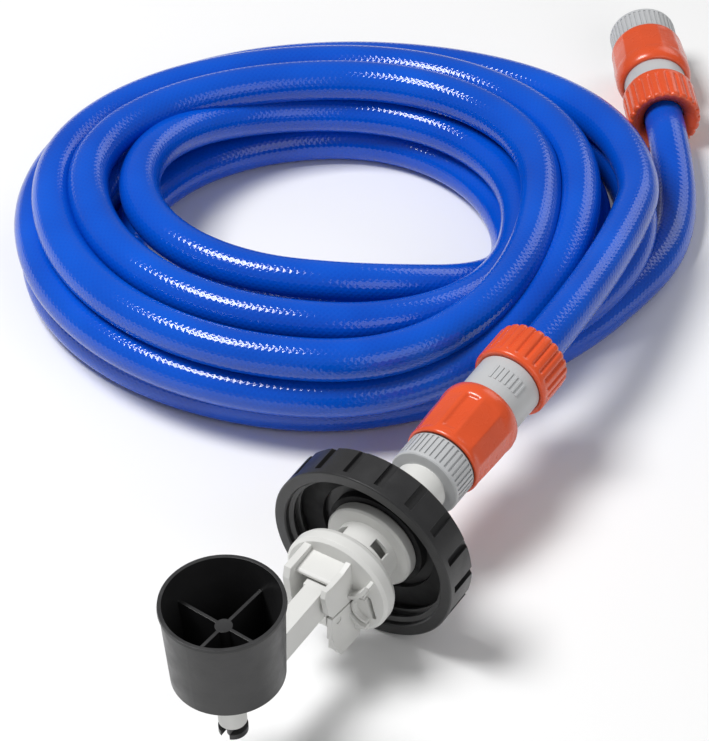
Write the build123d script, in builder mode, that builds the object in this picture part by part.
from build123d import *
import math
import os

# Mains adaptor hose kit for a rolling water barrel. Millimetres, +Z up.
# A valve assembly (screw cap, float valve, arm and cup) lies on a line that falls
# slightly towards its arm, with a click connector and the coiled hose behind it.
# Origin: middle of the box around the valve assembly and its connector, on the floor.

# Driving dimensions -----------------------------------------------------------------
hose_od = 17.0
hose_bore = 12.5
nut_radius = 15.75
nut_length = 18.2
sleeve_radius = 16.4
sleeve_a = 30.5         # release sleeve of the stop connector
sleeve_b = 24.3         # the same on the plain connector
body_show_a = 18.3      # bare body between nut and sleeve
body_show_b = 9.4
spigot_radius = 8.0     # click spigot of the tap adaptor
tap_radius = 9.3        # core radius of a G1/2 thread
tail_radius = 10.48     # outside radius of a G1/2 thread
running_gap = 0.05
cap_radius = 38.4
cap_height = 17.0
cap_fall = 4.0          # degrees that the valve axis falls towards the arm
cup_reach = 84.7        # cup axis, in front of the cap's open rim
cup_base = 18.3         # cup underside, above the valve axis
cup_rim = 54.7
cup_rim_radius = 22.5
nut_rear = 122.5        # rear face of nut A, behind the cap's open rim
pin_reach = 27.0        # hinge pin, in front of the cap's open rim
pin_drop = 5.5          # and below the valve axis
swing = 14.0            # degrees that the arm rises from open to shut
front_face = -17.5      # front of the white valve cap
travel_a = 5.0          # how far a sleeve pulls back to let go
travel_b = 3.5
claw_count = 3
claw_arc = 50.0
window_arc = 54.0
cone_slope = 0.3        # ramp inside the sleeve that holds the claws in

# Frames -----------------------------------------------------------------------------
fall_cos = math.cos(math.radians(cap_fall))
fall_sin = math.sin(math.radians(cap_fall))
far_y = nut_rear * fall_cos + nut_radius * fall_sin
near_y = -(cup_reach + cup_rim_radius) * fall_cos - cup_rim * fall_sin
cap_y = -(far_y + near_y) / 2
cap_z = cap_radius * fall_cos
valve_dir = Vector(0, fall_cos, fall_sin)
across = Vector(-1, 0, 0)

# Section plane of the valve: local x runs back along the axis, local y up into the cup.
valve = Plane(origin=(0, cap_y, cap_z), x_dir=valve_dir, z_dir=(1, 0, 0))
cup_axis = Axis(valve.from_local_coords(Vector(-cup_reach, 0, 0)), valve.y_dir)

# Each connector's section plane starts at its nut's rear face and runs to its adaptor.
connector_a = Plane(
    origin=valve.from_local_coords(Vector(nut_rear, 0, 0)), x_dir=valve_dir * -1, z_dir=(1, 0, 0)
)
turn_b = math.radians(38.2)  # how far connector B points left of +Y
connector_b = Plane(
    origin=(-49.0, 311.2, sleeve_radius + 0.1),
    x_dir=(-math.sin(turn_b), math.cos(turn_b), 0), z_dir=(0, 0, 1),
)


def station(frame, distance):
    """Plane square to a frame's axis at a distance along it."""
    origin = frame.from_local_coords(Vector(distance, 0, 0))
    return Plane(origin=origin, x_dir=frame.z_dir, z_dir=frame.x_dir)


def turned(frame, points, mode=Mode.ADD):
    """Revolve a closed profile of (along, radius) points about the frame's axis."""
    with BuildSketch(frame) as profile:
        with BuildLine():
            Polyline(*points, close=True)
        make_face()
    revolve(profile.sketch, axis=Axis(frame.origin, frame.x_dir), mode=mode)


def ring(frame, start, end, inner, outer, mode=Mode.ADD):
    """Revolve a plain rectangle: a washer, collar or bore."""
    turned(frame, [(start, inner), (end, inner), (end, outer), (start, outer)], mode)


def grooves(frame, start, end, radius, depth, width, count):
    """Cut straight grooves along the outside of a turned part."""
    middle = station(frame, (start + end) / 2)
    with Locations(middle):
        with PolarLocations(radius, count):
            Box(2 * depth, width, end - start, mode=Mode.SUBTRACT)


def o_ring(frame, distance, ring_radius, cord_radius):
    """Revolve a round cord section."""
    with BuildSketch(frame) as profile:
        with Locations((distance, ring_radius)):
            Circle(cord_radius)
    revolve(profile.sketch, axis=Axis(frame.origin, frame.x_dir))


def closed_coils(frame, start, ring_radius, wire_radius, count):
    """A compression spring pressed solid: its coils lie against each other."""
    pitch = 1.96 * wire_radius
    with BuildSketch(frame) as profile:
        for coil in range(count):
            with Locations((start + wire_radius + coil * pitch, ring_radius)):
                Circle(wire_radius)
    revolve(profile.sketch, axis=Axis(frame.origin, frame.x_dir))


def plate(outline, start, end):
    """Extrude an outline on the valve's section plane between two distances across it."""
    with BuildSketch(valve.offset(start)) as profile:
        with BuildLine():
            Polyline(*outline, close=True)
        make_face()
    extrude(profile.sketch, amount=end - start)


def pin_bore(radius):
    """Cut the hinge pin's hole right across the valve."""
    with BuildSketch(valve) as hole:
        with Locations((-pin_reach, -pin_drop)):
            Circle(radius)
    extrude(hole.sketch, amount=14.0, both=True, mode=Mode.SUBTRACT)


def keep(piece, label):
    """Label a finished piece and write it."""
    piece.part.label = label
    export_step(piece.part, f"parts/{label}.step")


os.makedirs("parts", exist_ok=True)

# Click connectors -------------------------------------------------------------------
# A is the stop connector on the valve, B the plain one on the hose's other end.
grip_grooves = 24
adaptor_grooves = 40
adaptor_length = 12.9
hose_entry = 17.0        # how far the hose goes into the nut
hose_gap = 0.3
spigot_length = 20.5
washer_seat = 1.4
washer_top = 2.6
pressed_spring = 4.4

connectors = (
    ("a", connector_a, body_show_a, sleeve_a, travel_a),
    ("b", connector_b, body_show_b, sleeve_b, travel_b),
)
for side, frame, show, sleeve_length, travel in connectors:
    sleeve_start = nut_length + show
    front = sleeve_start + sleeve_length
    shoulder = sleeve_start + 5.0
    spring_stop = shoulder + pressed_spring + travel
    claw_start = front - 9.4
    claw_end = front - 4.6

    # Hose nut: dished rear face, hose hole, tapered seat for the grip ring.
    with BuildPart() as clamp_nut:
        turned(frame, [
            (0, 13.6), (0, nut_radius - 0.8), (0.8, nut_radius), (nut_length - 0.8, nut_radius),
            (nut_length, nut_radius - 0.8), (nut_length, 13.3), (12.6, 13.3), (6.0, 12.2),
            (6.0, hose_od / 2 + hose_gap), (3.6, hose_od / 2 + hose_gap),
        ])
        grooves(frame, -0.5, nut_length - 2.2, nut_radius, 0.9, 1.1, grip_grooves)
    keep(clamp_nut, f"clamp_nut_{side}")

    # Split-cone grip ring between nut and hose.
    with BuildPart() as grip_ring:
        turned(frame, [
            (6.3, hose_od / 2 + 0.1), (12.6, hose_od / 2 + 0.1), (12.6, 12.9), (6.3, 11.9),
        ])
        with Locations(station(frame, 9.5)):
            with Locations((10.5, 0)):
                Box(6, 2.0, 8, mode=Mode.SUBTRACT)
    keep(grip_ring, f"grip_ring_{side}")

    # Body: hose barb, collar under the nut, sleeve guide and spigot bore.
    chamber_start = front - 33 if side == "a" else front - 22
    with BuildPart() as connector_body:
        turned(frame, [
            (3, 4.5), (3, 5.7), (3.8, 6.2), (17.4, 6.2), (17.4, 8.7), (13, 8.7), (13, 12.9),
            (nut_length - 0.3, 12.9), (nut_length + 0.3, 13.5), (shoulder, 13.5),
            (shoulder, 11.2), (front - 1.2, 11.2), (front - 1.2, spigot_radius + 0.1),
            (front - 21, spigot_radius + 0.1), (front - 21, 6.6), (chamber_start, 6.6),
            (chamber_start, 4.5),
        ])
        for claw in range(claw_count):
            middle = 360 / claw_count * claw
            with BuildSketch(station(frame, claw_start)):
                with BuildLine():
                    CenterArc((0, 0), 12.5, middle - window_arc / 2, window_arc)
                    CenterArc((0, 0), 6.0, middle - window_arc / 2, window_arc)
                    Line(PolarLine((0, 0), 6.0, middle - window_arc / 2) @ 1,
                         PolarLine((0, 0), 12.5, middle - window_arc / 2) @ 1)
                    Line(PolarLine((0, 0), 6.0, middle + window_arc / 2) @ 1,
                         PolarLine((0, 0), 12.5, middle + window_arc / 2) @ 1)
                make_face()
            extrude(amount=claw_end - claw_start, mode=Mode.SUBTRACT)
        if side == "a":
            for mark in range(7):
                with Locations(station(frame, 27)):
                    with PolarLocations(13.5, 1, start_angle=41 + 9 * mark):
                        Box(0.7, 0.9, 7.0)
    keep(connector_body, f"connector_body_{side}")

    # Release sleeve: barrel outside; ramp inside holds the claws in.
    with BuildPart() as release_sleeve:
        turned(frame, [
            (sleeve_start, 13.6), (sleeve_start, 14.6), (sleeve_start + 1.2, 15.6),
            (sleeve_start + 4.5, sleeve_radius), (sleeve_start + 13, sleeve_radius), (front - 9, 16.1),
            (front - 0.6, 15.6), (front, 15.1), (front, 11.4 + cone_slope * 9.4),
            (claw_start, 11.4), (spring_stop, 11.4), (spring_stop, 13.6),
        ])
    keep(release_sleeve, f"release_sleeve_{side}")

    with BuildPart() as sleeve_spring:
        closed_coils(frame, shoulder + 0.05, 12.4, 0.55, 4)
    keep(sleeve_spring, f"sleeve_spring_{side}")

    # Claws drop into the spigot's groove through the body's windows.
    for claw in range(claw_count):
        with BuildPart() as spigot_claw:
            with BuildSketch(frame) as profile:
                with BuildLine():
                    Polyline(
                        (claw_start + 0.2, 7.15), (claw_end - 0.2, 7.15),
                        (claw_end - 0.2, 11.3 + cone_slope * 4.4), (claw_start + 0.2, 11.3),
                        close=True,
                    )
                make_face()
            frame_axis = Axis(frame.origin, frame.x_dir)
            first = 360 / claw_count * claw - claw_arc / 2 + 90
            revolve(profile.sketch.rotate(frame_axis, first), axis=frame_axis, revolution_arc=claw_arc)
        keep(spigot_claw, f"spigot_claw_{side}_{claw + 1}")

    # Tap adaptor: click spigot, ribbed ring with the G1/2 thread, recess for its washer.
    mouth = front + adaptor_length
    with BuildPart() as tap_adaptor:
        turned(frame, [
            (front - spigot_length, 4.8), (front - spigot_length, spigot_radius - 0.8),
            (front - spigot_length + 0.8, spigot_radius), (front - 16, spigot_radius),
            (front - 16, 6.3), (front - 13.6, 6.3), (front - 13.6, spigot_radius),
            (front - 9.6, spigot_radius), (front - 9.6, 7.0), (front - 4.4, 7.0),
            (front - 4.4, spigot_radius), (front + 0.3, spigot_radius), (front + 0.3, 14.0),
            (front + 0.8, 14.5), (mouth - 0.5, 14.5), (mouth, 14.0), (mouth, tap_radius),
            (front + washer_top, tap_radius), (front + washer_top, tap_radius + 0.3),
            (front + washer_seat, tap_radius + 0.3), (front + washer_seat, 4.8),
        ])
        grooves(frame, front + 1.2, mouth - 1.6, 14.5, 0.5, 0.9, adaptor_grooves)
    keep(tap_adaptor, f"tap_adaptor_{side}")

    with BuildPart() as spigot_ring:
        o_ring(frame, front - 14.8, 7.2, 0.85)
    keep(spigot_ring, f"spigot_ring_{side}")

    with BuildPart() as tap_washer:
        ring(frame, front + washer_seat, front + washer_top, 5.5, tap_radius - 0.1)
    keep(tap_washer, f"tap_washer_{side}")

# Stop valve inside connector A, held open by the spigot -------------------------------
stop_seat = nut_length + body_show_a + sleeve_a - 21
with BuildPart() as stop_plunger:
    turned(connector_a, [
        (stop_seat - 8, 0), (stop_seat - 8, 1.6), (stop_seat - 3, 1.6), (stop_seat - 3, 4.0),
        (stop_seat - 2.2, 5.2), (stop_seat - 1.6, 5.2), (stop_seat - 1.6, 4.2),
        (stop_seat - 0.6, 4.2), (stop_seat - 0.6, 5.2), (stop_seat, 5.2), (stop_seat + 0.4, 3.0),
        (stop_seat + 0.4, 0),
    ])
keep(stop_plunger, "stop_plunger")

with BuildPart() as plunger_ring:
    o_ring(connector_a, stop_seat - 1.1, 4.75, 0.5)
keep(plunger_ring, "plunger_ring")

with BuildPart() as stop_spring:
    closed_coils(connector_a, stop_seat - 11.9, 5.6, 0.4, 11)
keep(stop_spring, "stop_spring")

# Screw cap for the barrel's neck -----------------------------------------------------
skirt_radius = 36.7
skirt_bore = 33.6
plate_inner = 13.0
grip_pads = 18
with BuildPart() as barrel_cap:
    turned(valve, [
        (0, skirt_bore + 0.5), (0, cap_radius - 0.4), (0.4, cap_radius), (14.4, cap_radius),
        (15.6, 36.9), (cap_height, 35.0), (cap_height, tail_radius + 0.2),
        (plate_inner, tail_radius + 0.2), (plate_inner, skirt_bore), (0.6, skirt_bore),
    ])
    grooves(valve, 2.6, 17.6, cap_radius, cap_radius - skirt_radius, 3.4, grip_pads)
    for ridge in range(2):
        start = 2.2 + 4.4 * ridge
        turned(valve, [
            (start, skirt_bore + 0.2), (start + 0.9, 31.9), (start + 1.6, 31.9),
            (start + 2.5, skirt_bore + 0.2),
        ])
keep(barrel_cap, "barrel_cap")

with BuildPart() as neck_gasket:
    ring(valve, 10.9, plate_inner, 24.0, 33.4)
keep(neck_gasket, "neck_gasket")

# Float valve ------------------------------------------------------------------------
flange_front = 4.2
flange_back = 9.3
front_a = nut_rear - (nut_length + body_show_a + sleeve_a)
tail_end = front_a - washer_top
adaptor_mouth = front_a - adaptor_length
with BuildPart() as valve_body:
    turned(valve, [
        (tail_end, 7.6), (tail_end, 8.6), (tail_end - 0.7, tap_radius - running_gap),
        (adaptor_mouth - 0.6, tap_radius - running_gap), (adaptor_mouth - 1.6, tail_radius),
        (flange_back, tail_radius), (flange_back, 17.2), (flange_back - 0.8, 18.0),
        (flange_front + 0.8, 18.0), (flange_front, 17.2),
        (flange_front, 12.6), (-6.0, 12.6), (-7.0, 16.4), (-12.5, 16.4), (-12.5, 13.6),
        (-9.0, 13.6), (-9.0, 10.8), (3.0, 10.8), (3.0, 4.2), (-9.0, 4.2), (-10.2, 3.4),
        (-10.2, 2.2), (12.0, 2.2), (14.0, 7.6),
    ])
    with Locations(station(valve, -1.0)):
        with PolarLocations(11.7, 4, start_angle=45):
            Box(4, 7, 4.4, mode=Mode.SUBTRACT)
keep(valve_body, "valve_body")

with BuildPart() as flange_washer:
    ring(valve, flange_back, plate_inner, tail_radius + 0.1, 20.0)
keep(flange_washer, "flange_washer")

with BuildPart() as valve_nut:
    with BuildSketch(station(valve, cap_height)):
        RegularPolygon(radius=15.6, side_count=6)
        Circle(tail_radius + running_gap, mode=Mode.SUBTRACT)
    extrude(amount=6.0)
keep(valve_nut, "valve_nut")

with BuildPart() as inlet_filter:
    turned(valve, [(20, 0), (tail_end - 1.5, 0), (tail_end - 1.5, 7.5), (tail_end - 3, 7.5),
                   (tail_end - 3, 5.2), (20, 4.2)])
    turned(valve, [(21, 0), (tail_end, 0), (tail_end, 4.2), (21, 3.2)], Mode.SUBTRACT)
    for row in range(4):
        with Locations(station(valve, 24 + 5 * row)):
            with PolarLocations(4.6, 8):
                Box(3.4, 1.6, 3.4, mode=Mode.SUBTRACT)
keep(inlet_filter, "inlet_filter")

with BuildPart() as flow_restrictor:
    turned(valve, [(14.1, 1.6), (14.1, 7.4), (18.0, 7.4), (18.0, 5.0), (15.6, 5.0), (15.6, 1.6)])
keep(flow_restrictor, "flow_restrictor")

with BuildPart() as diaphragm:
    turned(valve, [
        (-10.3, 0.8), (-10.3, 5.0), (-9.05, 8.0), (-9.05, 13.5), (-10.6, 13.5), (-10.6, 9.0),
        (-11.8, 5.5), (-11.8, 0.8),
    ])
keep(diaphragm, "diaphragm")

with BuildPart() as metering_pin:
    turned(valve, [(-14.5, 0), (-14.5, 2.2), (-13.7, 2.2), (-13.7, 0.6), (-4, 0.6), (-3.5, 0)])
keep(metering_pin, "metering_pin")

# White valve cap: domed disc with the pilot nozzle, two cheeks that hold the hinge pin, a
# bridge over the arm, and a spout plate, hooked rib and slotted boss on the right.
right_cheek = (5.2, 7.4)
left_cheek = (-12.5, -9.6)
pin_radius = 1.5
nozzle_face = front_face - 1.3
disc_root = front_face + 0.5
with BuildPart() as front_cap:
    turned(valve, [
        (nozzle_face, 0.6), (nozzle_face, 2.6), (front_face, 3.8), (front_face, 20.6),
        (front_face + 1.3, 21.8), (-12.2, 21.8), (-10.4, 21.0), (-8.6, 18.6), (-8.0, 17.4),
        (-8.0, 16.5), (-12.8, 16.5), (-12.8, 13.5), (-10.65, 13.5), (-10.65, 11.0),
        (-14.6, 11.0), (-14.6, 0.6),
    ])
    plate([
        (disc_root, -2.8), (-30.8, -0.6), (-33.4, 3.4), (-34.8, 12.6), (-33.6, 15.6),
        (-30.0, 14.8), (-22.5, 14.6), (disc_root, 15.8),
    ], *right_cheek)
    plate([
        (disc_root, -3.7), (-31.2, -1.5), (-32.2, -11.6), (-31.0, -12.8), (-31.6, -17.0),
        (-29.8, -18.6), (-27.0, -24.2), (-14.6, -25.6), (-13.4, -20.0), (disc_root, -19.0),
    ], *right_cheek)
    plate([
        (disc_root, -11.0), (-29.0, -9.5), (-31.4, -6.0), (-32.4, 12.0), (-31.0, 16.4),
        (disc_root, 16.4),
    ], *left_cheek)
    plate([
        (disc_root, 12.2), (-28.3, 12.4), (-28.3, 13.4), (-27.4, 14.0), (disc_root, 14.4),
    ], left_cheek[1] - 0.5, right_cheek[0] + 0.5)
    with BuildSketch(station(valve, disc_root)):
        with BuildLine():
            Polyline((6.0, -0.4), (9.0, -0.7), (11.8, -2.4), (14.8, -6.2), (17.0, -11.0),
                     (15.7, -11.3), (13.6, -7.4), (10.9, -4.0), (8.6, -2.2), (6.0, -1.9), close=True)
        make_face()
    extrude(amount=-4.0)
    for wall_outer, wall_inner, wall_height in ((8.8, 7.6, 3.4), (6.2, 5.0, 2.6)):
        with BuildSketch(station(valve, disc_root)):
            with Locations((14.0, 4.5)):
                Circle(wall_outer)
                Circle(wall_inner, mode=Mode.SUBTRACT)
            with Locations((14.0 + wall_outer / 2, 4.5)):
                Rectangle(wall_outer, 2 * wall_outer, mode=Mode.SUBTRACT)
        extrude(amount=-wall_height)
    with BuildSketch(station(valve, front_face)):
        with Locations((15.2, 3.6)):
            SlotOverall(11.0, 2.0, rotation=78)
    extrude(amount=3.0, mode=Mode.SUBTRACT)
    pin_bore(pin_radius)
keep(front_cap, "front_cap")

with BuildPart() as hinge_pin:
    with BuildSketch(valve.offset(left_cheek[0] + 0.4)):
        with Locations((-pin_reach, -pin_drop)):
            Circle(pin_radius)
    extrude(amount=right_cheek[1] - left_cheek[0] - 0.8)
keep(hinge_pin, "hinge_pin")

# Float arm, shown at the bottom of its swing: root and hub on the pin, seal holder that
# meets the nozzle squarely once the arm is up, deep shank, socket for the cup's stem.
arm_top = 11.2
arm_bottom = -2.0
arm_half = 3.75
root_half = 4.6
holder_radius = 3.4
seal_radius = 2.35
seal_depth = 2.4
stem_radius = 2.5
socket_top = 14.3
socket_bottom = -6.5
socket_radius = 5.2
hinge = Vector(-pin_reach, -pin_drop, 0)
shut_seal = Vector(nozzle_face - running_gap, 0, 0)
open_seal = hinge + (shut_seal - hinge).rotate(Axis.Z, swing)
seal_frame = Plane(
    origin=valve.from_local_coords(open_seal), x_dir=valve_dir.rotate(Axis.X, swing), z_dir=(1, 0, 0)
)
with BuildPart() as float_arm:
    plate([
        (-28.1, arm_top), (-26.2, 9.6), (-24.4, 5.2), (-23.0, -1.8), (-23.0, -pin_drop),
        (-31.0, -pin_drop), (-31.0, arm_top),
    ], -root_half, root_half)
    plate([
        (-30.0, arm_bottom), (-30.0, arm_top), (-cup_reach, arm_top), (-cup_reach, arm_bottom),
    ], -arm_half, arm_half)
    with BuildSketch(valve.offset(left_cheek[1] + 0.2)):
        with Locations((-pin_reach, -pin_drop)):
            Circle(4.0)
    extrude(amount=root_half - left_cheek[1] - 0.2)
    ring(seal_frame, -5.0, -1.2, 0, holder_radius)
    ring(seal_frame, -seal_depth, 1.0, 0, seal_radius + running_gap, Mode.SUBTRACT)
    socket_plane = Plane(
        origin=valve.from_local_coords(Vector(-cup_reach, socket_bottom, 0)),
        x_dir=across, z_dir=valve.y_dir,
    )
    with BuildSketch(socket_plane):
        Circle(socket_radius)
    extrude(amount=socket_top - socket_bottom)
    with BuildSketch(socket_plane):
        Circle(stem_radius + running_gap)
    extrude(amount=socket_top - socket_bottom, mode=Mode.SUBTRACT)
    pin_bore(pin_radius + running_gap)
keep(float_arm, "float_arm")

with BuildPart() as pilot_seal:
    ring(seal_frame, -seal_depth, 0, 0, seal_radius)
keep(pilot_seal, "pilot_seal")

# Cup float with cross ribs, its stem and the clip that stops it lifting out.
stem_end = -14.0
rib_top = cup_rim - 12.0
rib_turn = -5.0           # degrees that the ribs' cross is turned from straight across
cup_section = Plane(origin=cup_axis.position, x_dir=valve.y_dir, z_dir=valve.z_dir)
with BuildPart() as float_cup:
    rib_plane = Plane(
        origin=cup_section.from_local_coords(Vector(cup_base + 1, 0, 0)),
        x_dir=across, z_dir=valve.y_dir,
    ).rotated((0, 0, rib_turn))
    with BuildSketch(rib_plane):
        Rectangle(2 * cup_rim_radius, 1.3)
        Rectangle(1.3, 2 * cup_rim_radius)
        Circle(3.2)
    extrude(amount=rib_top - cup_base - 1)
    turned(cup_section, [
        (cup_base, 0), (cup_base, 19.7), (rib_top + 1, 20.9), (rib_top + 1, 0),
    ], Mode.INTERSECT)
    turned(cup_section, [
        (stem_end, 0), (stem_end, stem_radius - 0.5), (stem_end + 0.8, stem_radius),
        (cup_base, stem_radius), (cup_base, 19.6), (cup_base + 0.8, 20.4),
        (cup_rim - 1.6, 21.9), (cup_rim - 1.2, cup_rim_radius), (cup_rim, cup_rim_radius - 0.2),
        (cup_rim, 20.9), (cup_base + 1.5, 19.1), (cup_base + 1.5, 0),
    ])
keep(float_cup, "float_cup")

clip_start = -11.6
clip_end = -9.2
with BuildPart() as float_clip:
    clip_plane = Plane(
        origin=cup_section.from_local_coords(Vector(clip_start, 0, 0)),
        x_dir=across, z_dir=valve.y_dir,
    )
    with BuildSketch(clip_plane):
        Circle(5.4)
        Circle(stem_radius, mode=Mode.SUBTRACT)
        with Locations((0, 4.5)):
            Rectangle(3.6, 6.0, mode=Mode.SUBTRACT)
    extrude(amount=clip_end - clip_start)
keep(float_clip, "float_clip")

# Coil -------------------------------------------------------------------------------
# One closed ring of the bundle's outer shape, in three layers. Each layer's edge is four
# quarter ellipses. Local x points right across the coil, local y away behind it.
coil = Plane(origin=(-125.7, 170.8, 0), x_dir=(1, 0, 0), z_dir=(0, 0, 1)).rotated((0, 0, 33))
layer_height = 17.0
coil_layers = [
    # behind-right reach, front-right reach, back, left, front
    (120.0, 145.0, 113.5, 132.5, 112.5),
    (132.5, 132.5, 113.5, 134.5, 123.5),
    (132.0, 108.3, 98.0, 127.0, 121.2),
]
hole = (64.0, 64.0, 62.5, 73.5, 55.5)


def ring_edge(right_back, right_front, back, left, front):
    """Closed edge of four quarter ellipses, with a step on the right if the two differ."""
    EllipticalCenterArc((0, 0), right_back, back, start_angle=0, arc_size=90)
    EllipticalCenterArc((0, 0), left, back, start_angle=90, arc_size=90)
    EllipticalCenterArc((0, 0), left, front, start_angle=180, arc_size=90)
    EllipticalCenterArc((0, 0), right_front, front, start_angle=270, arc_size=90)
    if right_back != right_front:
        Line((right_back, 0), (right_front, 0))


with BuildPart() as hose_coil:
    for layer, reaches in enumerate(coil_layers):
        with BuildSketch(coil.offset(layer * layer_height)):
            with BuildLine():
                ring_edge(*reaches)
            make_face()
        extrude(amount=layer_height)
    with BuildSketch(coil):
        with BuildLine():
            ring_edge(*hole)
        make_face()
    extrude(amount=layer_height * len(coil_layers), mode=Mode.SUBTRACT)
keep(hose_coil, "hose_coil")

# Uncoiled hose ----------------------------------------------------------------------
# Lead: from nut A up onto the coil's top. Tail: from the coil's outside turn to nut B.
lead_points = [
    connector_a.from_local_coords(Vector(hose_entry, 0, 0)),
    connector_a.from_local_coords(Vector(-18.5, 0, 0)),
    coil.from_local_coords(Vector(104.0, -62.0, 45.3)),
    coil.from_local_coords(Vector(118.0, -27.0, 43.4)),
    coil.from_local_coords(Vector(123.5, 0.0, 42.5)),
]
tail_points = [
    connector_b.from_local_coords(Vector(hose_entry, 0, 0)),
    connector_b.from_local_coords(Vector(-12.0, 0, 0)),
    coil.from_local_coords(Vector(143.8, 27.0, 8.5)),
    coil.from_local_coords(Vector(137.0, -3.0, 8.5)),
]


def bend_radii(points):
    """Largest arc at each corner that both of its runs leave room for."""
    radii = []
    for before, corner, after in zip(points, points[1:], points[2:]):
        half_turn = math.radians((corner - before).get_angle(after - corner) / 2)
        shorter = min((corner - before).length, (after - corner).length)
        radii.append(0.45 * shorter / math.tan(half_turn))
    return radii


for label, points in (("hose_lead", lead_points), ("hose_tail", tail_points)):
    radii = bend_radii(points)
    with BuildPart() as hose_tube:
        with BuildLine() as route:
            FilletPolyline(*points, radius=radii)
        with BuildSketch(Plane(origin=route.line @ 0, z_dir=route.line % 0)):
            Circle(hose_od / 2)
            Circle(hose_bore / 2, mode=Mode.SUBTRACT)
        sweep()
    keep(hose_tube, label)
    section_area = math.pi * (hose_od**2 - hose_bore**2) / 4
    print(label, "radii", [round(radius) for radius in radii],
          "volume ratio", round(hose_tube.part.volume / (section_area * route.wires()[0].length), 4))
